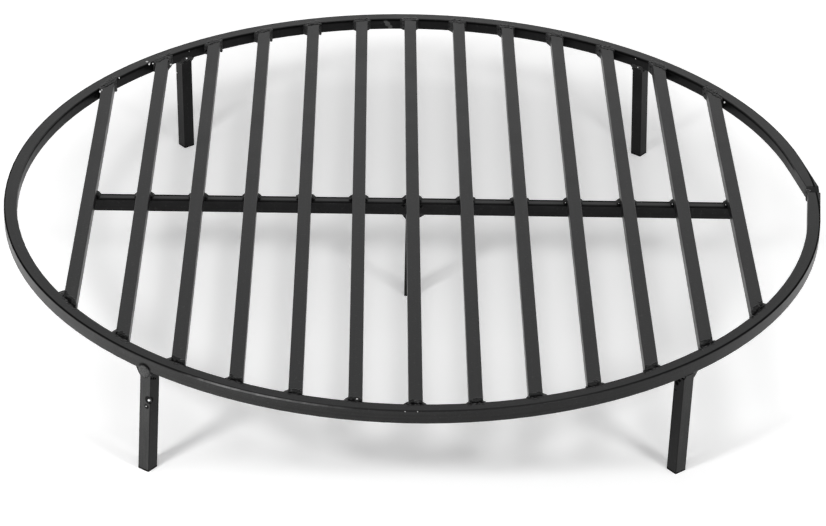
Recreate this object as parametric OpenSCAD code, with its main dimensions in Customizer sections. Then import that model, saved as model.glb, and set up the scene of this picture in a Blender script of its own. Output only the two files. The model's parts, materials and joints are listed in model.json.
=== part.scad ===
// Round log grate, welded from solid square steel bar.
// A rolled ring holds thirteen parallel grate bars. A cross bar ties them underneath, and five legs carry
// the lot.
// The origin is on the floor under the ring's centre, +Z is up, and the grate bars run along Y.

/* [Square bar] */
// Side of the bar that the ring is rolled from
ring_side = 12; // [9:0.5:18]
// Side of the grate bars
bar_side = 12; // [8:0.5:16]
// Side of the cross bar
cross_side = 12; // [8:0.5:18]
// Side of the legs
leg_side = 12; // [8:0.5:18]
// Radius along the long edges of every bar
edge_r = 0.8; // [0.3:0.1:1.5]

/* [Ring] */
// Outer diameter of the ring
ring_d = 762; // [700:1:950]
// Place of the ring's butt joint, in degrees from +X towards +Y
joint_at = 1.8; // [-6:0.1:6]
// Length that the rolling machine leaves straight at each end of the ring's bar
joint_flat = 60; // [20:1:80]
// Gap between the two square ends at the inside of the ring
joint_root = 2.5; // [1:0.1:4]
// Width of the welding groove ground across the top of the joint
groove_w = 13; // [8:0.5:16]
// Depth of that groove
groove_depth = 8; // [5:0.5:8.5]
// How far the weld metal in the groove stays below the top of the ring
groove_drop = 2.5; // [1:0.1:4]

/* [Grate bars] */
// Distance between the centre lines of two neighbouring bars
bar_pitch = 50.4; // [44:0.1:52]
// Gap between a bar's coped end and the ring, bridged by the weld
root_gap = 0.2; // [0:0.05:0.5]

/* [Cross bar] */
// How far the cross bar's ends stay inside the outer sides of the outermost bars
cross_inset = 2; // [0:0.5:5]

/* [Legs] */
// Length of the legs under the ring
leg_h = 101; // [60:1:160]
// Place of the front left leg round the ring, in degrees from +X towards +Y
front_left_at = 232.9; // [225:0.1:240]
// Place of the front right leg round the ring
front_right_at = 308.1; // [300:0.1:315]
// Place of the back left leg round the ring
back_left_at = 128.3; // [120:0.1:135]
// Place of the back right leg round the ring
back_right_at = 51; // [45:0.1:60]
// Lean of the front left leg, outwards and sideways, in degrees
front_left_lean = [2.2, -1.4]; // [-3:0.1:3]
// Lean of the front right leg, outwards and sideways, in degrees
front_right_lean = [-0.8, 0]; // [-3:0.1:3]
// Lean of the back left leg, outwards and sideways, in degrees
back_left_lean = [0, -0.8]; // [-3:0.1:3]
// Lean of the back right leg, outwards and sideways, in degrees
back_right_lean = [1, -2]; // [-3:0.1:3]

/* [Welds] */
// Width of the large fillet in the corner at the outer side of each bar end
outer_fillet = 7.5; // [4:0.1:9]
// Width of the small fillet in the corner at the inner side of a bar end
inner_fillet = 4; // [2:0.1:6]
// Bulge of a fillet's face between its top and its middle
fillet_crown = 0.8; // [0.2:0.1:1.5]
// How far a fillet stays below the top of the grate
fillet_drop = 0.6; // [0.2:0.1:2]
// Radius of the bead that ties each grate bar to the back of the cross bar
tie_r = 4; // [2:0.1:5]
// How far that bead reaches past each side of the grate bar
tie_reach = 4.5; // [1:0.5:8]
// Radius of the bead in the corner beside a leg
leg_bead_r = 5; // [3:0.1:6]
// Length of the bead in the corner beside a leg
leg_bead_l = 15; // [10:0.5:18]
// Radius of the weld pad over the joint between a leg's outer face and the ring's
face_pad_r = 6.5; // [3:0.1:7]
// Height of that pad above the faces
face_pad_h = 1.6; // [0.5:0.1:2.5]
// Radius of the upright bead inside the ring's butt joint
joint_bead_r = 4.5; // [2:0.1:6]

/* [Hidden] */
$fn = 96;

black = "#414142";
weld_black = "#3a3a3b";

bar_count = 13;
middle = (bar_count + 1) / 2;          // number of the bar on the centre line
ring_r = ring_d / 2;
ring_in = ring_r - ring_side;          // radius of the ring's inner face
cope_r = ring_in - root_gap;           // radius that the bar ends are coped to
leg_r = ring_r - leg_side / 2;         // radius of the ring legs' centre lines at the ring
deck_z = leg_h + ring_side;            // top of the ring and of the grate bars
bar_z = deck_z - bar_side;             // underside of the grate bars
cross_z = bar_z - cross_side;          // underside of the cross bar
flat_turn = atan(joint_flat / ring_r); // angle of the ring that each straight end stands for
end_l = ring_in * tan(flat_turn) - joint_root / 2 / cos(flat_turn);
mitre_in = ring_in / cos(flat_turn);   // where the straight ends' inner faces would meet
mitre_out = ring_r / cos(flat_turn);   // where their outer faces would meet
past = 1;                              // how far a cutting shape runs past what it cuts
hair = 0.04;                           // distance that keeps two faces from coinciding

function bar_x(n) = (n - middle) * bar_pitch;

// ---- Shapes that repeat ----

// Section of a square bar with rounded edges, centred on the origin.
module stock(side) {
    square([side - 2 * edge_r, side], center = true);
    square([side, side - 2 * edge_r], center = true);
    for (sx = [-1, 1], sy = [-1, 1])
        translate([sx * (side / 2 - edge_r), sy * (side / 2 - edge_r)])
            circle(edge_r);
}

// Weld bead along X: thickest at its middle and drawn out to a point at each end. Round its axis it fills the
// angle turn, from straight down towards +Y.
module bead(l, r, turn) {
    arc_r = (l * l / 4 + r * r) / (2 * r);
    rotate([0, 90, 0])
        rotate_extrude(angle = turn)
            intersection() {
                translate([r - arc_r, 0]) circle(arc_r);
                translate([0, -l]) square([2 * r, 2 * l]);
            }
}

// Upright weld with flat ends and a face that bulges at half height.
module upright_bead(r, h) {
    arc_r = (h * h / 4 + fillet_crown * fillet_crown) / (2 * fillet_crown);
    rotate_extrude()
        intersection() {
            translate([r - arc_r, 0]) circle(arc_r);
            translate([0, -h / 2]) square([r, h]);
        }
}

// ---- Ring ----

// Puts its children in the joint's frame: X runs outwards through the joint, Y across it, and Z starts at
// level.
module at_joint(level) {
    rotate([0, 0, joint_at])
        translate([0, 0, level])
            children();
}

// Triangular groove along the radius, ground into the top of both ends where they meet.
module joint_groove(above) {
    slope = groove_w / 2 / groove_depth;
    at_joint(deck_z)
        translate([ring_in - ring_side, 0, 0])
            rotate([90, 0, 90])
                linear_extrude(height = 3 * ring_side)
                    polygon([
                        [-groove_w / 2 - above * slope, above],
                        [groove_w / 2 + above * slope, above],
                        [0, -groove_depth]
                    ]);
}

// Straight stretch at one end of the ring's bar. side is 1 past the joint and -1 before it. It starts
// inside the curve, and is thinner by a hair, so that its faces don't coincide with the curve's.
module ring_flat(side) {
    rotate([0, 0, side * flat_turn])
        translate([ring_r - ring_side / 2, side * past, ring_side / 2])
            rotate([90 * side, 0, 0])
                linear_extrude(height = end_l + past)
                    stock(ring_side - hair);
}

module ring() {
    color(black)
    difference() {
        at_joint(leg_h) {
            rotate([0, 0, flat_turn])
                rotate_extrude(angle = 360 - 2 * flat_turn, $fn = 360)
                    translate([ring_r - ring_side / 2, ring_side / 2])
                        stock(ring_side);
            ring_flat(1);
            ring_flat(-1);
        }
        joint_groove(past);
    }
}

// Plan of the band that the straight ends would fill if they met in a mitre, w wide and with its two inner
// edges in_x and out_x from the ring's centre.
module mitre_plan(in_x, out_x, w) {
    back = w / 2 * tan(flat_turn);
    polygon([
        [in_x, 0], [in_x - back, w / 2], [out_x - back, w / 2],
        [out_x, 0], [out_x - back, -w / 2], [in_x - back, -w / 2]
    ]);
}

// Plan of the open wedge between the two square ends.
module gap_plan() {
    root_x = mitre_in - joint_root / 2 * tan(flat_turn);
    face_x = root_x + ring_side * cos(flat_turn);
    face_y = joint_root / 2 + ring_side * sin(flat_turn);
    polygon([
        [mitre_in, 0], [root_x, joint_root / 2], [face_x, face_y],
        [mitre_out, 0], [face_x, -face_y], [root_x, -joint_root / 2]
    ]);
}

// Weld metal between the ring's ends: it fills the gap and the groove, is dished on top, and has a bead up
// the inside.
module ring_joint_weld() {
    dish_r = groove_w;
    bead_h = ring_side - groove_drop - fillet_drop;
    color(weld_black)
    difference() {
        union() {
            at_joint(leg_h)
                linear_extrude(height = ring_side)
                    gap_plan();
            intersection() {
                joint_groove(0);
                at_joint(leg_h)
                    linear_extrude(height = ring_side)
                        mitre_plan(mitre_in, mitre_out, groove_w);
            }
            intersection() {
                at_joint(leg_h + bead_h / 2)
                    translate([mitre_in, 0, 0])
                        upright_bead(joint_bead_r, bead_h);
                at_joint(leg_h)
                    linear_extrude(height = ring_side)
                        mitre_plan(mitre_in - ring_side, mitre_in, 2 * ring_side);
            }
        }
        at_joint(deck_z - groove_drop + dish_r)
            translate([ring_in - ring_side, 0, 0])
                rotate([0, 90, 0])
                    cylinder(r = dish_r, h = 3 * ring_side);
    }
}

// ---- Grate bars ----

// Bar n, counted from the left, with both ends coped to the inside of the ring.
module grate_bar(n) {
    color(black)
    intersection() {
        translate([bar_x(n), 0, deck_z - bar_side / 2])
            rotate([90, 0, 0])
                linear_extrude(height = 2 * ring_r, center = true)
                    stock(bar_side);
        cylinder(r = cope_r, h = deck_z + past, $fn = 360);
    }
}

// Fillet in the corner between the ring and one side of bar n. The sharper the corner, the deeper it is
// filled. end is -1 at the front and 1 at the back, side is -1 on the left and 1 on the right.
module corner_weld(n, end, side, width) {
    corner_x = bar_x(n) + side * bar_side / 2;
    corner_y = end * sqrt(ring_in * ring_in - corner_x * corner_x);
    corner_angle = acos(side * corner_x / ring_in);
    weld_h = min(bar_side, ring_side) - 2 * fillet_drop;
    intersection() {
        translate([corner_x, corner_y, deck_z - fillet_drop - weld_h / 2])
            upright_bead(width / 2 / sin(corner_angle / 2), weld_h);
        cylinder(r = ring_in, h = deck_z + past, $fn = 360);
        translate([corner_x + (side - 1) / 2 * bar_pitch, -ring_r, 0])
            cube([bar_pitch, 2 * ring_r, deck_z]);
    }
}

// The outer side of a bar is the one that faces away from the middle bar.
module end_welds(n, end) {
    outer = n > middle ? 1 : -1;
    corner_weld(n, end, outer, outer_fillet);
    if (end > 0 || n >= middle)
        corner_weld(n, end, -outer, inner_fillet);
}

module front_end_welds() {
    color(weld_black) for (n = [1:bar_count]) end_welds(n, -1);
}

module back_end_welds() {
    color(weld_black) for (n = [1:bar_count]) end_welds(n, 1);
}

// ---- Cross bar ----

module cross_bar() {
    half_l = bar_x(bar_count) + bar_side / 2 - cross_inset;
    color(black)
    translate([0, 0, bar_z - cross_side / 2])
        rotate([90, 0, 90])
            linear_extrude(height = 2 * half_l, center = true)
                stock(cross_side);
}

// Bead under bar n, in the corner that it makes with the back of the cross bar.
module tie_weld(n) {
    reach = bar_x(bar_count) + bar_side / 2;
    difference() {
        intersection() {
            translate([bar_x(n), cross_side / 2, bar_z])
                bead(bar_side + 2 * tie_reach, tie_r, 360);
            translate([-reach, -cross_side, cross_z])
                cube([2 * reach, 3 * cross_side, deck_z - cross_z]);
        }
        translate([bar_x(n) - bar_side / 2, -cross_side, bar_z])
            cube([bar_side, 3 * cross_side, bar_side]);
        translate([-ring_r, -cross_side / 2, cross_z])
            cube([2 * ring_r, cross_side, cross_side]);
    }
}

module cross_bar_welds() {
    color(weld_black) for (n = [1:bar_count]) tie_weld(n);
}

// ---- Legs ----

// Leg under the ring, cut level at the floor and at the ring's underside.
module ring_leg(at, lean) {
    rotate([0, 0, at])
        intersection() {
            translate([leg_r, 0, leg_h])
                rotate([lean[1], -lean[0], 0])
                    translate([0, 0, -1.1 * leg_h])
                        linear_extrude(height = 1.2 * leg_h)
                            stock(leg_side);
            translate([0, -ring_r / 2, 0])
                cube([2 * ring_r, ring_r, leg_h]);
        }
}

module leg_front_left() {
    color(black) ring_leg(front_left_at, front_left_lean);
}

module leg_front_right() {
    color(black) ring_leg(front_right_at, front_right_lean);
}

module leg_back_left() {
    color(black) ring_leg(back_left_at, back_left_lean);
}

module leg_back_right() {
    color(black) ring_leg(back_right_at, back_right_lean);
}

module leg_center() {
    color(black)
    linear_extrude(height = cross_z)
        stock(leg_side);
}

// Domed pad of weld over the joint between a leg's outer face and the ring's. Its back is flat.
module leg_pad(at, lean) {
    dome_r = (face_pad_r * face_pad_r + face_pad_h * face_pad_h) / (2 * face_pad_h);
    difference() {
        rotate([0, 0, at])
            translate([ring_r + hair, 0, leg_h])
                rotate([0, 90, 0])
                    rotate_extrude()
                        intersection() {
                            translate([0, face_pad_h - dome_r]) circle(dome_r);
                            square([2 * face_pad_r, face_pad_h]);
                        }
        ring_leg(at, lean);
    }
}

// Bead along the corner between one side of a leg and the ring's underside. side is 1 towards growing angles.
// It starts at the leg's leaning side.
module leg_bead(at, lean, side) {
    rotate([0, 0, at])
        translate([leg_r, side * leg_side / 2, leg_h])
            rotate([side > 0 ? lean[1] : -90, 0, 0])
                bead(leg_bead_l, leg_bead_r, 90 - side * lean[1]);
}

module leg_center_welds() {
    color(weld_black)
    for (turn = [0, 180])
        rotate([0, 0, turn])
            translate([-leg_side / 2, 0, cross_z])
                rotate([0, 0, 90])
                    bead(leg_bead_l, leg_bead_r, 90);
}

// Welds of a ring leg: the pad, and a bead in each corner that sides names.
module ring_leg_welds(at, lean, sides) {
    color(weld_black) {
        leg_pad(at, lean);
        for (side = sides) leg_bead(at, lean, side);
    }
}

module leg_front_left_welds() {
    ring_leg_welds(front_left_at, front_left_lean, [-1]);
}

module leg_front_right_welds() {
    ring_leg_welds(front_right_at, front_right_lean, [1]);
}

module leg_back_left_welds() {
    ring_leg_welds(back_left_at, back_left_lean, [-1, 1]);
}

module leg_back_right_welds() {
    ring_leg_welds(back_right_at, back_right_lean, [-1, 1]);
}

ring();
ring_joint_weld();
grate_bar(1);  // bar_01
grate_bar(2);  // bar_02
grate_bar(3);  // bar_03
grate_bar(4);  // bar_04
grate_bar(5);  // bar_05
grate_bar(6);  // bar_06
grate_bar(7);  // bar_07
grate_bar(8);  // bar_08
grate_bar(9);  // bar_09
grate_bar(10);  // bar_10
grate_bar(11);  // bar_11
grate_bar(12);  // bar_12
grate_bar(13);  // bar_13
cross_bar();
leg_front_left();
leg_front_right();
leg_back_left();
leg_back_right();
leg_center();
front_end_welds();
back_end_welds();
cross_bar_welds();
leg_front_left_welds();
leg_front_right_welds();
leg_back_left_welds();
leg_back_right_welds();
leg_center_welds();
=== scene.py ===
"""Looks of a round log grate: square steel bar under black stove paint, with rough weld metal at every joint."""
import json
import math
import random

import bpy
from mathutils import Matrix, Vector

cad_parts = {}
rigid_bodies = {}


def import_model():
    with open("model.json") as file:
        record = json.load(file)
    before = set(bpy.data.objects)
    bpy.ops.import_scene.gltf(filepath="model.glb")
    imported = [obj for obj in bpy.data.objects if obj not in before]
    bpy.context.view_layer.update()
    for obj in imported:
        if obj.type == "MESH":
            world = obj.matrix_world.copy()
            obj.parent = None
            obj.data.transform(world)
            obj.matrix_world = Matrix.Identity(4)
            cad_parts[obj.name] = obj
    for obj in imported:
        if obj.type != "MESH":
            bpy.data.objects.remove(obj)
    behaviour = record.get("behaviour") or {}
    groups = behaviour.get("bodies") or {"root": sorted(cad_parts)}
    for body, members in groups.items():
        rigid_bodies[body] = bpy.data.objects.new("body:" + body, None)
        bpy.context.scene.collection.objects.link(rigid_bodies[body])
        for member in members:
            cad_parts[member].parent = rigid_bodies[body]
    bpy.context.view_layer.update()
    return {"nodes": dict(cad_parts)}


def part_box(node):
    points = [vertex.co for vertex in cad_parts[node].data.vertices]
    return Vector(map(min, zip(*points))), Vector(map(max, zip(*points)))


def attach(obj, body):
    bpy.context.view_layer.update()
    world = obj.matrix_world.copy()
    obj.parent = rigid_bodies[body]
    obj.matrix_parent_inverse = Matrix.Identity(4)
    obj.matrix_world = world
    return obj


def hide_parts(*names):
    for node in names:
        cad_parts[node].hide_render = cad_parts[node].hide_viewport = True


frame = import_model()

MM = 0.001

# ---- Sizes, taken from the frame ----

ring_low, ring_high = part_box("ring")
DECK_Z = ring_high.z                            # top of the ring and of the grate bars
RING_SIDE = ring_high.z - ring_low.z
RING_FOOT = ring_low.z                          # underside of the ring
RING_R = ring_high.y
RING_IN = RING_R - RING_SIDE                    # radius of the ring's inner face
BARS = [f"bar_{n:02d}" for n in range(1, 14)]
BAR_X = [(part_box(bar)[0].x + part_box(bar)[1].x) / 2 for bar in BARS]
BAR_HALF = (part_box(BARS[0])[1].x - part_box(BARS[0])[0].x) / 2
BAR_PITCH = (BAR_X[-1] - BAR_X[0]) / 12
CROSS_LOW, CROSS_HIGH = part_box("cross_bar")
LEG_HALF = (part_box("leg_center")[1].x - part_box("leg_center")[0].x) / 2
LEG_AT = {"leg_front_left": 232.9, "leg_front_right": 308.1, "leg_back_left": 128.3, "leg_back_right": 51.0}

joint_low, joint_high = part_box("ring_joint_weld")
JOINT_AT = math.atan2(joint_low.y + joint_high.y, joint_low.x + joint_high.x)
JOINT_OUT = math.hypot(joint_high.x, (joint_low.y + joint_high.y) / 2)
JOINT_IN = JOINT_OUT - RING_SIDE                # inner corner of the ring's butt joint

UP = Vector((0, 0, 1))


# ---- Camera, light and floor ----

# Photograph's frame in pixels, and where the camera stood
IMAGE_W, IMAGE_H = 826, 526
FOCAL_PX = 3003.3
PRINCIPAL_X, PRINCIPAL_Y = 415.6, 265.9
CAMERA_AT = Vector((-44.3, -2468.7, 1476.4)) * MM
CAMERA_AZIMUTH, CAMERA_ELEVATION, CAMERA_ROLL = (math.radians(a) for a in (1.13, 30.36, 1.35))

WORLD_LIGHT = 0.22
LAMP_TARGET = Vector((0, 0, 0.08))
# Place and size of each lamp in metres, and its power in watts
LAMPS = {
    "front_top_strip": ((-0.1, -1.75, 1.9), 1.8, 0.5, 13),
    "front_left_lamp": ((-0.9, -1.1, 1.0), 0.25, 0.25, 11),
    "front_right_lamp": ((0.9, -1.1, 1.0), 0.3, 0.3, 8),
    "back_wall_lamp": ((0, 2.6, 0.9), 4.0, 1.2, 4),
    "left_card": ((-1.0, -0.35, 0.4), 0.7, 0.5, 1.6),
    "right_card": ((1.0, -0.3, 0.4), 0.7, 0.5, 1.0)}

FLOOR_WIDTH = 24
FLOOR_GREY = 0.8                                # floor's grey for the light that it throws back on the grate
FLOOR_SEEN = 1.0                                # and where it is looked at
# Glow that brings the looked-at floor up to white, and where it changes, in metres. Less glow under the grate paints
# a shadow there.
UNDER_LIFT, FAR_LIFT = 0.12, 0.5                # under the grate, and outside it, where less lamplight falls
FAR_FROM = (0.43, 0.64)                         # distance from the middle over which the one becomes the other
BACK_LIFT, BACK_FROM = 0.14, (-0.3, -0.1)       # what is added behind the front legs
SIDE_LIFT, SIDE_FROM = 0.16, (0.26, 0.38)       # what is added at both sides


def make_camera():
    data = bpy.data.cameras.new("camera")
    data.sensor_width = 36
    data.lens = FOCAL_PX / IMAGE_W * data.sensor_width
    data.shift_x = -(PRINCIPAL_X - IMAGE_W / 2) / IMAGE_W
    data.shift_y = (PRINCIPAL_Y - IMAGE_H / 2) / IMAGE_W
    camera = bpy.data.objects.new("camera", data)
    bpy.context.scene.collection.objects.link(camera)
    forward = Vector((math.sin(CAMERA_AZIMUTH) * math.cos(CAMERA_ELEVATION),
                      math.cos(CAMERA_AZIMUTH) * math.cos(CAMERA_ELEVATION),
                      -math.sin(CAMERA_ELEVATION)))
    right = Vector((math.cos(CAMERA_AZIMUTH), -math.sin(CAMERA_AZIMUTH), 0))
    up = right.cross(forward)
    rolled_right = right * math.cos(CAMERA_ROLL) + up * math.sin(CAMERA_ROLL)
    rolled_up = up * math.cos(CAMERA_ROLL) - right * math.sin(CAMERA_ROLL)
    turn = Matrix((rolled_right, rolled_up, -forward)).transposed()
    camera.matrix_world = Matrix.Translation(CAMERA_AT) @ turn.to_4x4()
    bpy.context.scene.camera = camera


def soft_lamp(name, at, width, height, watts):
    """Soft lamp that faces the grate."""
    data = bpy.data.lights.new(name, "AREA")
    data.shape = "RECTANGLE"
    data.size = width
    data.size_y = height
    data.energy = watts
    lamp = bpy.data.objects.new(name, data)
    bpy.context.scene.collection.objects.link(lamp)
    lamp.location = at
    lamp.rotation_mode = "QUATERNION"
    lamp.rotation_quaternion = (LAMP_TARGET - Vector(at)).to_track_quat("-Z", "Y")
    lamp.visible_camera = False


# ---- Node benches ----

class Bench:
    """Short words for the nodes that the materials are built of."""

    def __init__(self, tree):
        self.nodes = tree.nodes
        self.links = tree.links

    def feed(self, socket, value):
        if isinstance(value, bpy.types.NodeSocket):
            self.links.new(value, socket)
        else:
            socket.default_value = value

    def maths(self, operation, *values):
        node = self.nodes.new("ShaderNodeMath")
        node.operation = operation
        for socket, value in zip(node.inputs, values):
            self.feed(socket, value)
        return node.outputs[0]

    def times(self, first, *others):
        for value in others:
            first = self.maths("MULTIPLY", first, value)
        return first

    def most(self, first, *others):
        for value in others:
            first = self.maths("MAXIMUM", first, value)
        return first

    def without(self, mask):
        """The rest of the surface, beside a mask."""
        return self.maths("SUBTRACT", 1, mask)

    def absolute(self, value):
        return self.maths("ABSOLUTE", value)

    def spread(self, value, low, high, to_low=0.0, to_high=1.0):
        """Maps low..high to to_low..to_high, and stays there outside."""
        node = self.nodes.new("ShaderNodeMapRange")
        for name, number in (("From Min", low), ("From Max", high), ("To Min", to_low), ("To Max", to_high)):
            self.feed(node.inputs[name], number)
        self.feed(node.inputs["Value"], value)
        return node.outputs["Result"]

    def noise(self, place, scale, detail=2.0, stretch=(1, 1, 1)):
        if stretch != (1, 1, 1):
            mapping = self.nodes.new("ShaderNodeMapping")
            mapping.inputs["Scale"].default_value = stretch
            self.links.new(place, mapping.inputs["Vector"])
            place = mapping.outputs["Vector"]
        node = self.nodes.new("ShaderNodeTexNoise")
        node.inputs["Scale"].default_value = scale
        node.inputs["Detail"].default_value = detail
        self.links.new(place, node.inputs["Vector"])
        return node.outputs["Fac"]

    def mix(self, share, first, second, way="MIX"):
        node = self.nodes.new("ShaderNodeMix")
        node.data_type = "RGBA"
        node.blend_type = way
        self.feed(node.inputs["Factor"], share)
        self.feed(node.inputs["A"], first)
        self.feed(node.inputs["B"], second)
        return node.outputs["Result"]

    def grey(self, value):
        node = self.nodes.new("ShaderNodeCombineColor")
        for channel in ("Red", "Green", "Blue"):
            self.feed(node.inputs[channel], value)
        return node.outputs["Color"]

    def place(self):
        return self.nodes.new("ShaderNodeTexCoord").outputs["Object"]

    def parts(self, vector):
        node = self.nodes.new("ShaderNodeSeparateXYZ")
        self.links.new(vector, node.inputs["Vector"])
        return node.outputs["X"], node.outputs["Y"], node.outputs["Z"]

    def vector(self, x, y, z):
        node = self.nodes.new("ShaderNodeCombineXYZ")
        for name, value in (("X", x), ("Y", y), ("Z", z)):
            self.feed(node.inputs[name], value)
        return node.outputs["Vector"]

    def spot(self, place, center, size):
        """Mask of a round spot. Its centre and radius are in mm."""
        node = self.nodes.new("ShaderNodeVectorMath")
        node.operation = "DISTANCE"
        self.links.new(place, node.inputs[0])
        node.inputs[1].default_value = [length * MM for length in center]
        return self.spread(node.outputs["Value"], size * 0.75 * MM, size * MM, 1, 0)

    def spots(self, place, *spots):
        """Mask of all spots, each given as x, y, z and radius in mm."""
        return self.most(*(self.spot(place, spot[:3], spot[3]) for spot in spots))

    def radius(self, x, y):
        return self.maths("SQRT", self.maths("ADD", self.times(x, x), self.times(y, y)))


def new_group(name, inputs, outputs):
    """Shader group with its sockets. Gives the group, its bench, its input node and its output node."""
    group = bpy.data.node_groups.new(name, "ShaderNodeTree")
    for socket, kind, value in inputs:
        made = group.interface.new_socket(socket, in_out="INPUT", socket_type=kind)
        if value is not None:
            made.default_value = value
    for socket, kind in outputs:
        group.interface.new_socket(socket, in_out="OUTPUT", socket_type=kind)
    return group, Bench(group), group.nodes.new("NodeGroupInput"), group.nodes.new("NodeGroupOutput")


FLOAT, COLOR, VECTOR = "NodeSocketFloat", "NodeSocketColor", "NodeSocketVector"


# ---- World and floor ----

def seen_directly(bench):
    """Mask that is 1 for what the camera, a mirror or a glass sees, and 0 for light that falls on things."""
    path = bench.nodes.new("ShaderNodeLightPath")
    return bench.most(*(path.outputs[f"Is {kind} Ray"] for kind in ("Camera", "Glossy", "Transmission")))


def make_world():
    world = bpy.data.worlds.new("world")
    bpy.context.scene.world = world
    world.use_nodes = True
    background = world.node_tree.nodes["Background"]
    background.inputs["Color"].default_value = (1, 1, 1, 1)
    bench = Bench(world.node_tree)
    bench.feed(background.inputs["Strength"], bench.spread(seen_directly(bench), 0, 1, WORLD_LIGHT, 1))


def make_floor():
    bpy.ops.object.select_all(action="DESELECT")
    bpy.ops.mesh.primitive_plane_add(size=FLOOR_WIDTH, location=(0, 0, 0))
    floor = bpy.context.object
    floor.name = "studio_floor"
    material = bpy.data.materials.new("pale_floor")
    material.use_nodes = True
    shader = material.node_tree.nodes["Principled BSDF"]
    bench = Bench(material.node_tree)
    seen = seen_directly(bench)
    bench.feed(shader.inputs["Base Color"], bench.grey(bench.spread(seen, 0, 1, FLOOR_GREY, FLOOR_SEEN)))
    x, y = bench.parts(bench.place())[:2]
    # Painted shadow: the glow is least under the grate and round its front, and more behind and at the sides
    lift = bench.spread(bench.radius(x, y), *FAR_FROM, UNDER_LIFT, FAR_LIFT)
    lift = bench.maths("ADD", lift, bench.spread(y, *BACK_FROM, 0, BACK_LIFT))
    lift = bench.maths("ADD", lift, bench.spread(bench.absolute(x), *SIDE_FROM, 0, SIDE_LIFT))
    bench.feed(shader.inputs["Emission Strength"], bench.times(seen, lift))
    shader.inputs["Emission Color"].default_value = (1, 1, 1, 1)
    shader.inputs["Roughness"].default_value = 0.9
    shader.inputs["Specular IOR Level"].default_value = 0.1
    floor.data.materials.append(material)


# ---- Paint ----

# Base colours and specular levels of the paint
STEEL_BLACK = (0.0056, 0.0056, 0.0058, 1)
WELD_BLACK = (0.012, 0.012, 0.0122, 1)
RUBBED_AND_HIGHLIGHT_BLACK = (0.16, 0.16, 0.16, 1)            # paint that is rubbed thin, and painted highlights
# Grey of dust and of painted light on the outward faces
DUST_AND_LIGHT_GREY = (0.07, 0.07, 0.069, 1)
GLINT_GREY = (0.6, 0.6, 0.6, 1)                  # painted glints, in the grey of steel with no paint on it
PAINT_SHINE = 0.152
RING_SHINE = 0.142
LEG_SHINE = 0.14
WELD_SHINE = 0.4
CROSS_WELD_SHINE = 0.16

# Roughness of the paint and strength of its relief, on bar and on weld metal
STEEL_SHEEN, STEEL_RELIEF = 0.34, 0.5
WELD_SHEEN, WELD_RELIEF = 0.3, 1.0
RELIEF_HEIGHT = 0.25 * MM

# Share of dust and painted light on the outward faces, at the left and at the right, and the x between which it
# changes
LEG_DUST_AND_LIGHT = (0.64, 0.27)
RING_DUST_AND_LIGHT = (0.42, 0.13)
WELD_DUST_AND_LIGHT = (0.72, 0.24)
DUST_AND_LIGHT_FROM = (-0.3, 0.05)

# Marks on the paint, each as x, y, z and radius in mm
# Painted glints, as specks of bare steel
GLINTS_ON_BARS = ((-295.9, 226.9, 113, 1.2), (-307.9, 195.7, 113, 1.3), (-49, -362.4, 113, 0.9))
GLINTS_ON_RING = ((-267.2, 260.1, 113, 1.5), (-263.6, 257.4, 113, 1.1), (-9, -380.6, 113, 0.5),
                (1.4, -380.6, 113, 0.5))
# Lighter patches on the ring's inner face at the back
LIGHT_PATCHES_ON_RING = ((-25.6, 368.2, 110, 2.4), (-23.6, 368.2, 107, 3.0), (-20.8, 368.4, 103.6, 2.6))
SPLASH_ON_LEG = ((-227.3, -306.5, 73.0, 4.4), (-229.0, -305.4, 66.0, 2.8))
# Dark pits of weld on the front legs; the first three make a dark line under the weld on the front left leg, partly
# painted shade
PITS_AND_SHADE_ON_LEGS = ((-224.5, -306.8, 95.0, 1.3), (-223.0, -304.8, 93.8, 1.5), (-221.5, -302.8, 92.4, 1.2),
                (229.3, -302.2, 100.4, 3.0), (226.6, -298.7, 95.7, 2.6), (225.3, -297.0, 91.1, 2.4),
                (225.8, -297.8, 98.6, 2.4), (224.9, -296.6, 83.7, 1.0))
LENS_IN_JOINT = (375.2, 16.7, 109.8, 4.0)       # smooth drop of weld, with a painted highlight

# Ring's butt joint, and the round weld pad over the front left leg: middle and radius in mm
JOINT_SPOT = ((JOINT_IN + RING_SIDE / 2) * math.cos(JOINT_AT) / MM,
              (JOINT_IN + RING_SIDE / 2) * math.sin(JOINT_AT) / MM, RING_FOOT / MM + 6, 11)
PAD_MIDDLE = (-230.3, -303.5, 100.4)
PAD_RADIUS = 8.6

FRONT_TO_BACK = (-0.05, 0.05)                   # y between which the front's values turn into the back's


def drawing_lines_group():
    """Fine lines that the drawing die leaves along a steel bar, seen through the paint."""
    group, bench, given, result = new_group("drawing_lines", [("Along", VECTOR, None)], [("Line", FLOAT)])
    fine = bench.noise(given.outputs["Along"], 1.0, 3, (900, 900, 9))
    broad = bench.noise(given.outputs["Along"], 1.0, 1, (260, 260, 4))
    both = bench.maths("ADD", bench.times(fine, 0.6), bench.times(broad, 0.4))
    bench.feed(result.inputs["Line"], bench.spread(both, 0.35, 0.65))
    return group


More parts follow.
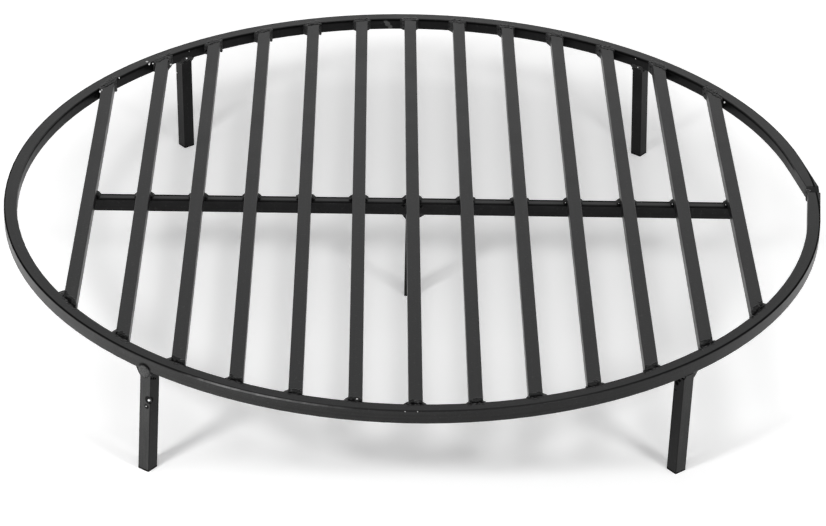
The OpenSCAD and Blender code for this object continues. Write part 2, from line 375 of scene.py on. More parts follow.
def weld_puddle_group():
    """Where the weld of a bar's end has run out over the bar and the ring: its area, its dark toe and its lumps.
    Reaches, places and widths are in mm."""
    group, bench, given, result = new_group(
        "weld_puddle",
        [("Reach On Bar", FLOAT, 6.0), ("Reach On Ring", FLOAT, 2.5), ("Toe At", FLOAT, 4.0),
         ("Toe Width", FLOAT, 0.8)],
        [("Puddle", FLOAT), ("Pits", FLOAT), ("Lumps", FLOAT)])
    place = bench.place()
    x, y = bench.parts(place)[:2]
    from_ring = bench.times(bench.maths("SUBTRACT", RING_IN, bench.radius(x, y)), 1 / MM)
    wander = bench.spread(bench.noise(place, 210), 0.3, 0.7, -1, 1)
    ragged = bench.maths("ADD", from_ring, bench.times(wander, 2.4))
    on_bar = bench.spread(bench.maths("SUBTRACT", given.outputs["Reach On Bar"], ragged), 0, 1.5)
    on_ring = bench.spread(bench.maths("ADD", ragged, given.outputs["Reach On Ring"]), 0, 1.5)

    beside = bench.absolute(bench.maths("WRAP", x, BAR_PITCH / 2, -BAR_PITCH / 2))
    at_bar = bench.spread(beside, BAR_HALF + 0.5 * MM, BAR_HALF + 2 * MM, 1, 0)
    at_some_bar = bench.spread(bench.absolute(x), BAR_X[-1] + 12 * MM, BAR_X[-1] + 14 * MM, 1, 0)
    at_bar = bench.times(at_bar, at_some_bar)
    puddle = bench.times(on_bar, on_ring, at_bar)

    from_toe = bench.maths("SUBTRACT", bench.maths("ADD", from_ring, wander), given.outputs["Toe At"])
    toe = bench.spread(bench.maths("DIVIDE", bench.absolute(from_toe), given.outputs["Toe Width"]), 0.5, 1.2, 1, 0)
    toe = bench.times(toe, at_bar, bench.spread(bench.noise(place, 330, 1), 0.36, 0.5))
    holes = bench.times(bench.spread(bench.noise(place, 430, 2), 0.56, 0.64), puddle)
    bench.feed(result.inputs["Puddle"], puddle)
    bench.feed(result.inputs["Pits"], bench.most(bench.times(holes, 0.7), toe))
    bench.feed(result.inputs["Lumps"], bench.times(bench.noise(place, 480, 3), puddle))
    return group


def sprayed_paint_group():
    """Thin sprayed film of black paint: soft patches, fine grit, and what lies under it. Scale is the mask of
    the dark pits, burnt spots and painted shade, which throw back less light than paint."""
    group, bench, given, result = new_group(
        "sprayed_paint",
        [("Base", COLOR, (0.02, 0.02, 0.02, 1)), ("Worn And Highlight", COLOR, (0.06, 0.06, 0.06, 1)), ("Sheen", FLOAT, 0.4),
         ("Line", FLOAT, 0.5), ("Pits", FLOAT, 0.0), ("Lumps", FLOAT, 0.0), ("Lightened", FLOAT, 0.0),
         ("Shaded", FLOAT, 0.0), ("Glint", FLOAT, 0.0), ("Dust And Light", FLOAT, 0.0)],
        [("Color", COLOR), ("Roughness", FLOAT), ("Scale", FLOAT), ("Height", FLOAT)])
    line = given.outputs["Line"]
    place = bench.place()
    grit = bench.noise(place, 900, 3)
    patches = bench.noise(place, 26, 2)
    specks = bench.spread(bench.noise(place, 420, 2), 0.62, 0.72, 0, 0.06)
    dark = bench.most(given.outputs["Pits"], given.outputs["Shaded"])
    level = bench.times(bench.spread(patches, 0.3, 0.7, 0.85, 1.15), bench.spread(grit, 0.3, 0.7, 0.85, 1.15),
                        bench.spread(line, 0, 1, 0.82, 1.18), bench.spread(dark, 0, 1, 1, 0.1))

    color = bench.mix(given.outputs["Dust And Light"], given.outputs["Base"], DUST_AND_LIGHT_GREY)
    # Lighter specks of worn paint, and the painted highlights
    color = bench.mix(bench.most(specks, given.outputs["Lightened"]), color, given.outputs["Worn And Highlight"])
    color = bench.mix(1.0, color, bench.grey(level), "MULTIPLY")
    bench.feed(result.inputs["Color"], bench.mix(given.outputs["Glint"], color, GLINT_GREY))

    sheen = bench.maths("ADD", given.outputs["Sheen"], bench.spread(patches, 0.3, 0.7, -0.05, 0.05))
    bench.feed(result.inputs["Roughness"], bench.maths("ADD", sheen, bench.times(dark, 0.55)))
    bench.feed(result.inputs["Scale"], dark)
    height = bench.maths("ADD", bench.times(grit, 0.5), bench.times(line, 0.12))
    height = bench.maths("ADD", height, bench.times(given.outputs["Lumps"], 4.0))
    bench.feed(result.inputs["Height"], bench.maths("SUBTRACT", height, dark))
    return group


class Paints:
    """The paint of the grate, with a coat for each kind of piece."""

    def __init__(self):
        self.film = sprayed_paint_group()
        self.lines = drawing_lines_group()
        self.puddle = weld_puddle_group()

    def coat(self, name, base, sheen, relief_strength, shine):
        """New material with the sprayed film wired to its shader. Gives the material, its bench and the film."""
        material = bpy.data.materials.new(name)
        material.use_nodes = True
        shader = material.node_tree.nodes["Principled BSDF"]
        bench = Bench(material.node_tree)
        film = bench.nodes.new("ShaderNodeGroup")
        film.node_tree = self.film
        film.inputs["Base"].default_value = base
        film.inputs["Worn And Highlight"].default_value = RUBBED_AND_HIGHLIGHT_BLACK
        film.inputs["Sheen"].default_value = sheen
        relief = bench.nodes.new("ShaderNodeBump")
        relief.inputs["Strength"].default_value = relief_strength
        relief.inputs["Distance"].default_value = RELIEF_HEIGHT
        bench.feed(relief.inputs["Height"], film.outputs["Height"])
        bench.feed(shader.inputs["Base Color"], film.outputs["Color"])
        bench.feed(shader.inputs["Roughness"], film.outputs["Roughness"])
        bench.feed(shader.inputs["Metallic"], film.outputs["Scale"])
        bench.feed(shader.inputs["Normal"], relief.outputs["Normal"])
        shader.inputs["Specular IOR Level"].default_value = shine
        return material, bench, film

    def add_lines(self, bench, film, along):
        lines = bench.nodes.new("ShaderNodeGroup")
        lines.node_tree = self.lines
        bench.feed(lines.inputs["Along"], along)
        bench.feed(film.inputs["Line"], lines.outputs["Line"])

    def add_dust_and_light(self, bench, film, left, right):
        """Dust and painted light on the faces that look outwards, more of it towards the left."""
        x, y = bench.parts(bench.place())[:2]
        facing = bench.nodes.new("ShaderNodeNewGeometry").outputs["Normal"]
        outwards = bench.nodes.new("ShaderNodeVectorMath")
        outwards.operation = "NORMALIZE"
        bench.links.new(bench.vector(x, y, 0), outwards.inputs[0])
        meeting = bench.nodes.new("ShaderNodeVectorMath")
        meeting.operation = "DOT_PRODUCT"
        bench.links.new(facing, meeting.inputs[0])
        bench.links.new(outwards.outputs[0], meeting.inputs[1])
        outer = bench.spread(meeting.outputs["Value"], 0.75, 0.9)
        bench.feed(film.inputs["Dust And Light"], bench.times(outer, bench.spread(x, *DUST_AND_LIGHT_FROM, left, right)))

    def add_puddle(self, bench, film):
        """The run-out weld at the bars' ends, wide and low at the front, and narrow at the back."""
        puddle = bench.nodes.new("ShaderNodeGroup")
        puddle.node_tree = self.puddle
        y = bench.parts(bench.place())[1]
        for name, front, back in (("Reach On Bar", 7.0, 4.5), ("Reach On Ring", 3.2, 4.5), ("Toe At", 0.6, 4.0),
                                  ("Toe Width", 2.7, 0.9)):
            bench.feed(puddle.inputs[name], bench.spread(y, *FRONT_TO_BACK, front, back))
        bench.feed(film.inputs["Pits"], puddle.outputs["Pits"])
        bench.feed(film.inputs["Lumps"], puddle.outputs["Lumps"])
        return puddle.outputs["Puddle"]

    def on_bars(self):
        material, bench, film = self.coat("stove_paint_on_bars", STEEL_BLACK, STEEL_SHEEN, STEEL_RELIEF, PAINT_SHINE)
        place = bench.place()
        x, y, z = bench.parts(place)
        self.add_lines(bench, film, bench.vector(x, z, y))
        puddle = self.add_puddle(bench, film)
        bench.feed(film.inputs["Shaded"], bench.times(puddle, bench.spread(y, *FRONT_TO_BACK, 0.5, 0.15)))
        # Painted glints on the lumps of the weld puddles
        glints = bench.spread(bench.noise(place, 560, 1), 0.68, 0.72, 0, 0.8)
        bench.feed(film.inputs["Lightened"], bench.times(puddle, glints))
        # Painted glints, as specks of bare steel
        bench.feed(film.inputs["Glint"], bench.spots(place, *GLINTS_ON_BARS))
        return material

    def on_cross_bar(self):
        """Its top has painted shade along the back and the front edge."""
        material, bench, film = self.coat("stove_paint_on_cross_bar", STEEL_BLACK, STEEL_SHEEN, STEEL_RELIEF,
                                          PAINT_SHINE)
        x, y, z = bench.parts(bench.place())
        self.add_lines(bench, film, bench.vector(y, z, x))
        across = bench.spread(y, CROSS_LOW.y, CROSS_HIGH.y)
        edges = bench.most(bench.spread(across, 0.66, 0.8), bench.spread(across, 0.34, 0.2))
        on_top = bench.spread(z, CROSS_HIGH.z - 0.6 * MM, CROSS_HIGH.z - 0.3 * MM, 0, 0.75)
        bench.feed(film.inputs["Shaded"], bench.times(edges, on_top))
        return material

    def on_legs(self):
        """Sawn and dark at the foot, with splashes and pits of weld below the ring."""
        material, bench, film = self.coat("stove_paint_on_legs", STEEL_BLACK, STEEL_SHEEN, STEEL_RELIEF, LEG_SHINE)
        place = bench.place()
        z = bench.parts(place)[2]
        self.add_lines(bench, film, place)
        self.add_dust_and_light(bench, film, *LEG_DUST_AND_LIGHT)
        sawn = bench.spread(z, 1.4 * MM, 2.0 * MM, 1, 0)
        bench.feed(film.inputs["Shaded"], bench.times(bench.most(sawn, bench.spots(place, *SPLASH_ON_LEG)), 0.8))
        bench.feed(film.inputs["Pits"], bench.spots(place, *PITS_AND_SHADE_ON_LEGS))
        return material

    def on_ring(self):
        """Lines run round the ring, and its top outer edge has a painted dark reflection in places and a painted
        highlight in others.
        """
        material, bench, film = self.coat("stove_paint_on_ring", STEEL_BLACK, STEEL_SHEEN, STEEL_RELIEF, RING_SHINE)
        place = bench.place()
        x, y, z = bench.parts(place)
        radius = bench.radius(x, y)
        self.add_lines(bench, film, bench.vector(radius, z, bench.times(bench.maths("ARCTAN2", y, x), RING_R)))
        self.add_puddle(bench, film)
        self.add_dust_and_light(bench, film, *RING_DUST_AND_LIGHT)

        def below_deck(from_mm, to_mm, to_low=0, to_high=1):
            return bench.spread(z, DECK_Z - from_mm * MM, DECK_Z - to_mm * MM, to_low, to_high)

        # Painted highlight along the outer edge, left of the middle of the front
        from_edge = bench.times(bench.maths("SUBTRACT", RING_R, radius), 1 / MM)
        painted_highlight_edge = bench.times(
            bench.spread(from_edge, 1.2, 0.7), below_deck(1.5, 1.0),
            bench.spread(bench.noise(place, 140, 2), 0.35, 0.6, 0.45, 0.9),
            bench.times(bench.spread(x, -0.2, -0.17), bench.spread(x, -0.12, -0.05, 1, 0)),
            bench.spread(y, -0.1, -0.2))

        # Painted dark reflection beside it, a line which is nearer to the edge at the left and the right, and faint
        # at the back
        from_line = bench.maths("ADD", from_edge, bench.spread(bench.absolute(y), 0.1, 0.26, 0.9, 0))
        band = bench.times(bench.spread(from_line, 0.3, 0.8), bench.spread(from_line, 1.9, 2.6, 1, 0))
        strength = bench.times(bench.spread(bench.absolute(x), 0.12, 0.25, 0.5, 1),
                               bench.spread(y, 0.02, 0.12, 1, 0.3))
        dark_edge = bench.times(band, below_deck(0.9, 0.4), strength, bench.spread(painted_highlight_edge, 0, 0.4, 1, 0))

        # Painted shade: a dark line under the top of the inner face, and the shade in the joint and round the pad
        inner = bench.spread(from_edge, RING_SIDE / MM - 0.5, RING_SIDE / MM - 0.2)
        under_edge = bench.times(below_deck(0.5, 0.9), below_deck(3.4, 2.2))
        dark_inner = bench.times(inner, bench.spread(under_edge, 0, 1, 0, 0.8))
        in_joint = bench.times(bench.spots(place, JOINT_SPOT), below_deck(0.2, 0.5, 0, 0.3))
        over_pad = bench.times(pad_rim(bench, place, 6.9, 103.2, 104.8), 0.9)
        bench.feed(film.inputs["Shaded"], bench.most(in_joint, over_pad, dark_edge, dark_inner))

        # Lighter patches on the inner face at the back
        light_patch = bench.times(bench.spots(place, *LIGHT_PATCHES_ON_RING), 0.45)
        bench.feed(film.inputs["Lightened"], bench.most(painted_highlight_edge, light_patch))
        # Painted glints, as specks of bare steel
        bench.feed(film.inputs["Glint"], bench.spots(place, *GLINTS_ON_RING))
        return material

    def on_welds(self, name, shine, shaded):
        """Thicker, blacker and glossier paint. shaded is how dark it is all over."""
        material, bench, film = self.coat(name, WELD_BLACK, WELD_SHEEN, WELD_RELIEF, shine)
        place = bench.place()
        z = bench.parts(place)[2]
        self.add_dust_and_light(bench, film, *WELD_DUST_AND_LIGHT)
        bench.feed(film.inputs["Lumps"], bench.noise(place, 620, 3))
        pits = bench.spread(bench.noise(place, 360, 2), 0.58, 0.66)
        # Pits, and painted shade on the upper rim of the pad
        bench.feed(film.inputs["Pits"], bench.most(pits, pad_rim(bench, place, 6.6, 102.8, 104.0)))
        # Painted highlight on the smooth drop in the joint, and painted shade in the joint below it
        lens = bench.spots(place, LENS_IN_JOINT)
        low = bench.spread(z, RING_FOOT + 11.2 * MM, RING_FOOT + 10.4 * MM, 0, 0.3)
        in_joint = bench.times(bench.spots(place, JOINT_SPOT), low, bench.without(lens))
        bench.feed(film.inputs["Lightened"], bench.times(lens, 0.85))
        bench.feed(film.inputs["Shaded"], bench.most(in_joint, shaded))
        return material


def pad_rim(bench, place, inner, low, high):
    """Mask of the painted shade on the upper rim of the round pad on the front left leg, outside a radius and above a
    height, in mm.
    """
    above = bench.spread(bench.parts(place)[2], low * MM, high * MM)
    rim = bench.times(bench.spot(place, PAD_MIDDLE, PAD_RADIUS), bench.without(bench.spot(place, PAD_MIDDLE, inner)))
    return bench.times(above, rim)


def bare_steel():
    material = bpy.data.materials.new("bare_spatter_steel")
    material.use_nodes = True
    shader = material.node_tree.nodes["Principled BSDF"]
    bench = Bench(material.node_tree)
    speckle = bench.spread(bench.noise(bench.place(), 900), 0.3, 0.7, 0.75, 0.98)
    bench.feed(shader.inputs["Base Color"], bench.grey(speckle))
    shader.inputs["Metallic"].default_value = 0.4
    shader.inputs["Roughness"].default_value = 0.35
    return material


def paint_steel(paints):
    """Gives each bar its coat. The first word of a node's name says what it is."""
    coats = {"ring": paints.on_ring(), "bar": paints.on_bars(), "cross": paints.on_cross_bar(),
             "leg": paints.on_legs()}
    for name, node in frame["nodes"].items():
        coat = coats.get(name.split("_")[0])
        if coat and not name.endswith(("weld", "welds")):
            node.data.materials.clear()
            node.data.materials.append(coat)


# ---- Weld metal ----

GRAIN = 0.42 * MM                               # voxel that melts the drops of a weld into one skin
BLANK = 60 * MM                                 # side of the block that a wedge is cut from
SINK = 1.6 * MM                                 # how far weld metal reaches into the steel
TIP_REACH = 2.0 * MM                            # how far a wedge's sharp tips run on inside the steel
RIPPLE = 2.2 * MM                               # length of weld that each ripple takes
WAVE_SIZE, WAVES = 2.6 * MM, 0.5 * MM           # roughness of a weld's skin: its size and its height
GRIT_SIZE, GRIT = 1.0 * MM, 0.18 * MM
DECK_MARGIN = 0.02 * MM                         # how far weld metal stays below the top of the grate
SMOOTH_BELOW = math.radians(50)


def start_metal(name):
    """New empty mesh, open for editing."""
    bpy.ops.object.select_all(action="DESELECT")
    metal = bpy.data.objects.new(name, bpy.data.meshes.new(name))
    bpy.context.scene.collection.objects.link(metal)
    bpy.context.view_layer.objects.active = metal
    metal.select_set(True)
    bpy.ops.object.mode_set(mode="EDIT")
    return metal


def drop(at, radii, turn=(0, 0, 0)):
    """One drop of weld metal, in the mesh that is being edited."""
    bpy.ops.mesh.primitive_uv_sphere_add(segments=12, ring_count=8, radius=1, location=at, rotation=turn,
                                         scale=radii)


def turned_to(first, second):
    """Turn that lays a piece's own x and y along two directions at right angles."""
    first, second = first.normalized(), second.normalized()
    return Matrix((first, second, first.cross(second))).transposed().to_euler()


def cut_off(at, outwards):
    """Takes away what the last piece has beyond a plane, and closes it."""
    bpy.ops.mesh.select_linked()
    bpy.ops.mesh.bisect(plane_co=at, plane_no=outwards, use_fill=True, clear_outer=True, threshold=1e-6)


def wedge(corner, first, second, first_leg, second_leg, length):
    """Three-sided piece that fills the corner between two directions, with legs of those lengths, and is as long
    as length across them. It reaches a little into the steel. Gives its face's middle, outward direction, direction
    from leg to leg, direction along the corner, and width."""
    first_end = corner + first * first_leg
    second_end = corner + second * second_leg
    middle = (first_end + second_end) / 2
    along = first.cross(second).normalized()
    bpy.ops.mesh.primitive_cube_add(size=1, location=middle, scale=(BLANK, BLANK, length),
                                    rotation=along.to_track_quat("Z", "Y").to_euler())
    leg_to_leg = (second_end - first_end).normalized()
    outward = leg_to_leg.cross(along)
    if outward.dot(middle - corner) < 0:
        outward = -outward
    cut_off(middle, outward)
    for direction in (first, second):
        inward = direction.cross(along).normalized()
        if inward.dot(middle - corner) > 0:
            inward = -inward
        cut_off(corner + inward * SINK, inward)
    for direction, end, tip_cosine in ((first, first_end, -leg_to_leg.dot(first)),
                                       (second, second_end, leg_to_leg.dot(second))):
        tip_length = SINK * tip_cosine / math.sqrt(1 - tip_cosine * tip_cosine)
        if tip_length > TIP_REACH:
            cut_off(end + direction * TIP_REACH, direction)
    return middle, outward, leg_to_leg, along, (second_end - first_end).length


def rippled_wedge(chance, corner, first, second, first_leg, second_leg, length):
    """Fillet weld: a wedge with the ripples of the weld across its face."""
    middle, outward, leg_to_leg, along, width = wedge(corner, first, second, first_leg, second_leg, length)
    steps = max(2, round(length / RIPPLE))
    for step in range(steps):
        at = middle + along * (step + 0.5 - steps / 2) * length / steps - outward * 0.75 * MM
        at += leg_to_leg * chance.uniform(-0.5, 0.5) * MM
        drop(at, (chance.uniform(1.0, 1.5) * MM, width * chance.uniform(0.34, 0.42), 1.3 * MM),
             turned_to(outward, leg_to_leg))


def melt(metal, waves=WAVES, grit=GRIT):
    """Closes the edit, melts all drops into one skin, roughens it, and keeps it below the top of the grate."""
    bpy.ops.mesh.select_all(action="SELECT")
    bpy.ops.mesh.normals_make_consistent(inside=False)
    bpy.ops.object.mode_set(mode="OBJECT")
    remesh = metal.modifiers.new("melt", "REMESH")
    remesh.mode = "VOXEL"
    remesh.voxel_size = GRAIN
    soften = metal.modifiers.new("soften", "SMOOTH")
    soften.iterations = 2
    for name, size, strength in (("waves", WAVE_SIZE, waves), ("grit", GRIT_SIZE, grit)):
        texture = bpy.data.textures.new(f"{metal.name}_{name}", "CLOUDS")
        texture.noise_scale = size
        rough = metal.modifiers.new(name, "DISPLACE")
        rough.texture = texture
        rough.texture_coords = "LOCAL"
        rough.strength = strength
        rough.mid_level = 0.5
    for modifier in list(metal.modifiers):
        bpy.ops.object.modifier_apply(modifier=modifier.name)
    bpy.ops.object.mode_set(mode="EDIT")
    bpy.ops.mesh.select_all(action="SELECT")
    bpy.ops.mesh.bisect(plane_co=(0, 0, DECK_Z - DECK_MARGIN), plane_no=UP, use_fill=True, clear_outer=True,
                        threshold=1e-6)
    bpy.ops.object.mode_set(mode="OBJECT")
    bpy.ops.object.shade_smooth_by_angle(angle=SMOOTH_BELOW)
    return metal


def hand_over(metal, material, *nodes):
    """Paints a weld and puts it in the place of its plain solids."""
    metal.data.materials.append(material)
    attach(metal, "root")
    if nodes:
        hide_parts(*nodes)


# Fillets of each grate bar's end, left side and right side: length along the bar and along the ring, in mm
FRONT_FILLETS = {
    1: ((12.5, 10), None), 2: ((9, 5.7), None), 3: ((6, 5.7), None), 4: ((5.4, 4.4), None),
    5: ((5.4, 5.5), None), 6: ((7, 5), None), 7: ((5.5, 4.8), (5, 4)), 8: ((2.8, 2.8), (2.4, 2.8)),
    9: ((2.6, 2.6), (5.2, 5.3)), 10: ((4, 2.8), (3, 2.8)), 11: ((2.4, 2.4), (3, 3.2)), 12: ((3, 2.2), (2.6, 3)),
    13: ((6.5, 4), (6, 5.5))}
BACK_FILLETS = {
    1: ((6, 3.8), (6, 2.8)), 2: ((5, 4.5), (12, 5)), 3: ((4.8, 5), (6, 2.8)), 4: ((4.8, 5), (6, 2.8)),
    5: ((4.6, 4.6), (6, 2.8)), 6: ((4, 3.6), (4, 3.4)), 7: ((4.6, 4.6), (5, 2.8)), 8: ((6, 5), (2.4, 2.2)),
    9: ((6, 5), (2.2, 2)), 10: ((8, 5.5), (2.2, 2)), 11: ((8, 5.5), (2.2, 2)), 12: ((7, 5), (3, 2.4)),
    13: ((7, 5.5), (8, 5))}
HANGING_DROPS = (1, 3, 4, 5)                    # bars whose back right fillet hangs below the bar
END_LUMPS = 4                                   # lumps on top of each fillet


def bar_end_welds(name, node, fillets, end, weld_paint):
    """All fillets at one end of the grate bars. end is -1 at the front and 1 at the back."""
    chance = random.Random(name)
    metal = start_metal(name)
    for n, sides in fillets.items():
        for side, legs in zip((-1, 1), sides):
            if legs is None:
                continue
            x = BAR_X[n - 1] + side * BAR_HALF
            corner = Vector((x, end * math.sqrt(RING_IN ** 2 - x * x), DECK_Z - RING_SIDE / 2))
            along_bar = Vector((0, -end, 0))
            along_ring = Vector((side, -side * corner.x / corner.y, 0)).normalized()
            bar_leg, ring_leg = legs[0] * MM, legs[1] * MM
            rippled_wedge(chance, corner, along_bar, along_ring, bar_leg, ring_leg, RING_SIDE - 1.2 * MM)
            for _ in range(END_LUMPS):
                share = chance.uniform(0, 0.8)
                at = corner + along_bar * bar_leg * share * 0.7 + along_ring * ring_leg * (0.8 - share) * 0.7
                at.z = DECK_Z - 0.9 * MM
                size = chance.uniform(0.8, 1.4) * MM
                drop(at, (size * 1.2, size, size))
            if end > 0 and side > 0 and n in HANGING_DROPS:
                at = corner + along_bar * 2.2 * MM + along_ring * 1.2 * MM
                at.z = DECK_Z - RING_SIDE + 0.4 * MM
                drop(at, (1.6 * MM, 1.8 * MM, 2.0 * MM))
    hand_over(melt(metal), weld_paint, node)


def cross_bar_welds(weld_paint):
    """Fillets between the grate bars' sides and the cross bar, a bead behind it under each bar, and a bead on its
    front under the middle bar. The outer sides of the first and the last bar have none."""
    chance = random.Random(5)
    metal = start_metal("cross_bar_weld_metal")
    top, back, front = CROSS_HIGH.z, CROSS_HIGH.y, CROSS_LOW.y
    for n, x in enumerate(BAR_X, 1):
        sides = [side for side in (-1, 1) if (n, side) not in ((1, -1), (13, 1))]
        for side in sides:
            corner = Vector((x + side * BAR_HALF, back - 3.6 * MM, top))
            reach = chance.uniform(2.6, 3.8) * MM
            rippled_wedge(chance, corner, Vector((side, 0, 0)), UP, reach, chance.uniform(2.6, 3.3) * MM, 8 * MM)
            drop((corner.x + side * 1.2 * MM, back + 0.4 * MM, top - 0.5 * MM), (2.0 * MM, 1.6 * MM, 1.7 * MM))
            if n > 9 and side < 0:
                drop((corner.x - 1.6 * MM, -1.5 * MM, top + 1.2 * MM), (1.5 * MM, 1.5 * MM, 1.4 * MM))
        for step in range(5):
            at = (x + BAR_HALF * (step - 2) / 2, back + 0.4 * MM, top - 0.8 * MM)
            drop(at, (2.4 * MM, 2.2 * MM, 2.2 * MM))
    for step in range(7):
        at = (BAR_X[6] + (step - 3) * 2.8 * MM, front - 0.3 * MM, top - chance.uniform(1.2, 3.4) * MM)
        drop(at, (2.0 * MM, 1.5 * MM, chance.uniform(2.0, 3.4) * MM))
    hand_over(melt(metal), weld_paint, "cross_bar_welds")


def center_leg_welds(weld_paint):
    """Fillets on both sides of the centre leg, under the cross bar."""
    chance = random.Random(2)
    metal = start_metal("leg_center_weld_metal")
    for side, bar_leg, down_leg in ((-1, 3.6, 4.8), (1, 5.6, 3.4)):
        corner = Vector((side * LEG_HALF, -1.5 * MM, CROSS_LOW.z))
        rippled_wedge(chance, corner, Vector((side, 0, 0)), -UP, bar_leg * MM, down_leg * MM, 9 * MM)
    hand_over(melt(metal), weld_paint, "leg_center_welds")


# Fillets beside each ring leg, in mm: side, length along the ring, length down the leg, depth from the outer face.
# Side 1 is the way that angles grow round the ring.
LEG_FILLETS = {
    "leg_front_left": ((-1, 4.8, 8.0, 9),),
    "leg_front_right": ((1, 3.8, 5.2, 9),),
    "leg_back_left": ((-1, 3.4, 3.6, 12), (1, 5.0, 3.0, 12)),
    "leg_back_right": ((-1, 5.0, 4.2, 12), (1, 2.6, 2.6, 12))}
# How far the round pad over each leg's joint stands out. 0 is no pad.
PAD_HEIGHTS = {"leg_front_left": 2.2 * MM, "leg_front_right": 0, "leg_back_left": 1.4 * MM,
               "leg_back_right": 1.4 * MM}


def ring_leg_frame(name):
    """Point on the leg's centre line under the ring, the direction outwards, and the direction round the ring."""
    turn = math.radians(LEG_AT[name])
    out = Vector((math.cos(turn), math.sin(turn), 0))
    along = Vector((-math.sin(turn), math.cos(turn), 0))
    return out * (RING_R - LEG_HALF) + UP * RING_FOOT, out, along


def ring_leg_welds(weld_paint, name, pad_height):
    """Fillets beside a ring leg, a round pad over the joint on its outer face, and drops on its inner face."""
    chance = random.Random(name)
    metal = start_metal(f"{name}_weld_metal")
    foot, out, along = ring_leg_frame(name)
    for side, ring_leg, down_leg, depth in LEG_FILLETS[name]:
        corner = foot + along * side * LEG_HALF + out * (LEG_HALF - depth / 2 * MM)
        rippled_wedge(chance, corner, along * side, -UP, ring_leg * MM, down_leg * MM, depth * MM)
    turn = turned_to(out, along)
    if pad_height:
        drop(foot + out * LEG_HALF - along * 0.6 * MM, (pad_height, 6.4 * MM, 6.6 * MM), turn)
        for across, down in ((-3.0, 3.4), (0.2, 4.4), (2.8, 3.0)):
            at = foot + out * LEG_HALF + along * across * MM - UP * down * MM
            drop(at, (pad_height * 0.8, 1.5 * MM, 2.6 * MM), turn)
    for step in range(5):
        at = foot - out * LEG_HALF + along * (step - 2) * 2.5 * MM + UP * chance.uniform(0.2, 1.6) * MM
        drop(at, (1.1 * MM, 1.7 * MM, chance.uniform(1.4, 2.4) * MM), turn)
    open_side = -LEG_FILLETS[name][0][0]        # side of the leg with no fillet, or the smaller one
    for step in range(6):
        at = foot + along * open_side * LEG_HALF + out * (step * 2 - 5) * MM
        at -= UP * chance.uniform(0.2, 3.6) * MM
        drop(at, [chance.uniform(*sizes) * MM for sizes in ((1.0, 1.6), (0.7, 1.1), (0.8, 1.3))], turn)
    hand_over(melt(metal), weld_paint, f"{name}_welds")


def joint_weld(weld_paint):
    """Weld of the ring's butt joint: it fills the gap, lies low in the groove, and has a bead up the inside."""
    chance = random.Random(4)
    metal = start_metal("ring_joint_weld_metal")
    out = Vector((math.cos(JOINT_AT), math.sin(JOINT_AT), 0))
    along = Vector((-math.sin(JOINT_AT), math.cos(JOINT_AT), 0))
    turn = turned_to(out, along)

    def at(from_inner, across, level):
        """Point by how far it is from the ring's inner face, across the joint, and above the underside, in mm."""
        return out * (JOINT_IN + from_inner * MM) + along * across * MM + UP * (RING_FOOT + level * MM)

    bpy.ops.mesh.primitive_cube_add(size=1, location=at(5.6, 0, 2.3), rotation=turn,
                                    scale=(11.2 * MM, 5.4 * MM, 4.2 * MM))
    for from_inner, across, level, radii in (
            (2.9, 4.9, 7.4, (2.4, 1.7, 1.8)), (6.4, 0.6, 4.2, (2.2, 3.0, 1.6)), (9.0, -0.6, 3.6, (1.8, 2.8, 1.4)),
            (0.6, 1.8, 8.8, (1.8, 2.0, 1.6)), (0.2, -2.2, 8.2, (1.8, 1.8, 2.0))):
        drop(at(from_inner, across, level), [radius * MM for radius in radii], turn)
    for step in range(6):
        drop(at(0.2, chance.uniform(-1.6, 1.2), 1.2 + 1.5 * step),
             (chance.uniform(1.8, 2.4) * MM, chance.uniform(3.6, 4.6) * MM, 1.5 * MM), turn)
    hand_over(melt(metal), weld_paint, "ring_joint_weld")


# Balls of spatter: x, y, z and radius in mm
SPATTER = ((-309.2, 196.6, 110.6, 1.3), (-309.8, 199.6, 108.6, 0.9), (-243.4, 261.5, 109.5, 1.0),
           (312.5, 195.6, 109.4, 1.2), (308.6, 201.6, 107.0, 0.8), (-226.6, 291.6, 109.8, 0.7),
           (230.2, 288.6, 110.4, 0.7))
# Balls on the ring's inner face: angle in degrees, and depth below the top and radius in mm
SPATTER_ON_RING = ((142.5, 1.0, 0.9), (135.9, 1.2, 1.1), (135.1, 2.2, 0.9))
# Balls on legs: how far outwards, along the ring and up from the middle of the leg's top, and radius, in mm. Those on
# the back legs begin with the leg.
HALF = LEG_HALF / MM
SPATTER_ON_FRONT_LEG = ((HALF + 0.7, 4.6, -27.4, 1.25), (HALF + 1.0, 1.1, -35.0, 0.65))
SPATTER_ON_BACK_LEGS = (
    ("leg_back_left", 3.7, HALF + 0.1, -17, 0.8), ("leg_back_left", -HALF - 1.0, 1.1, 2.4, 1.0),
    ("leg_back_right", -HALF - 1.0, -1.6, 1.2, 0.7))


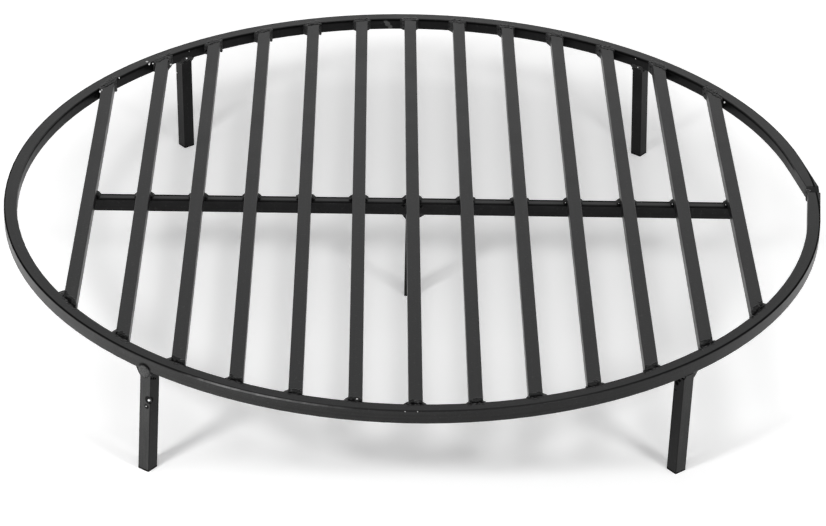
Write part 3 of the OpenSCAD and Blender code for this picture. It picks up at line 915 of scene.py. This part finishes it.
def spatter(bare, weld_paint):
    """Bright balls of spatter that the paint missed, and the dark splashes round the two on the front left leg."""
    foot, out, along = ring_leg_frame("leg_front_left")
    on_leg = [(foot + (out * outwards + along * across + UP * up) * MM, size)
              for outwards, across, up, size in SPATTER_ON_FRONT_LEG]
    balls = [(at + out * size * 0.7 * MM, size) for at, size in on_leg]
    splashes = start_metal("spatter_splash")
    turn = turned_to(out, along)
    for at, size in on_leg:
        for degrees in range(0, 360, 45):
            around = math.radians(degrees)
            spot = at + (along * math.cos(around) + UP * math.sin(around)) * (size + 0.7) * MM
            drop(spot, (0.4 * MM, 0.8 * MM, 0.8 * MM), turn)
    hand_over(melt(splashes, 0.1 * MM, 0.05 * MM), weld_paint)

    for leg, outwards, across, up, size in SPATTER_ON_BACK_LEGS:
        foot, out, along = ring_leg_frame(leg)
        balls.append((foot + (out * outwards + along * across + UP * up) * MM, size))
    for degrees, below, size in SPATTER_ON_RING:
        turn = math.radians(degrees)
        outwards = Vector((math.cos(turn), math.sin(turn), 0))
        balls.append((outwards * (RING_IN - 0.3 * MM) + UP * (DECK_Z - below * MM), size))
    balls += [(Vector(ball[:3]) * MM, ball[3]) for ball in SPATTER]
    balls += [(Vector((x - BAR_HALF - 1.4 * MM, -3.0 * MM, CROSS_HIGH.z + 1.9 * MM)), 0.6) for x in BAR_X[9:]]
    metal = start_metal("weld_spatter")
    for at, size in balls:
        drop(at, (size * MM, size * MM, size * 0.9 * MM))
    hand_over(melt(metal, 0.25 * MM, 0.1 * MM), bare)


# ---- Putting it together ----

bpy.context.scene.view_settings.view_transform = "Standard"
make_camera()
make_world()
for lamp, (at, width, height, watts) in LAMPS.items():
    soft_lamp(lamp, at, width, height, watts)
make_floor()

paints = Paints()
weld_paint = paints.on_welds("stove_paint_on_welds", WELD_SHINE, 0.2)
paint_steel(paints)

bar_end_welds("front_end_weld_metal", "front_end_welds", FRONT_FILLETS, -1, weld_paint)
bar_end_welds("back_end_weld_metal", "back_end_welds", BACK_FILLETS, 1, weld_paint)
cross_bar_welds(paints.on_welds("stove_paint_on_cross_bar_welds", CROSS_WELD_SHINE, 0.4))
center_leg_welds(weld_paint)
for leg, pad_height in PAD_HEIGHTS.items():
    ring_leg_welds(weld_paint, leg, pad_height)
joint_weld(weld_paint)
spatter(bare_steel(), weld_paint)
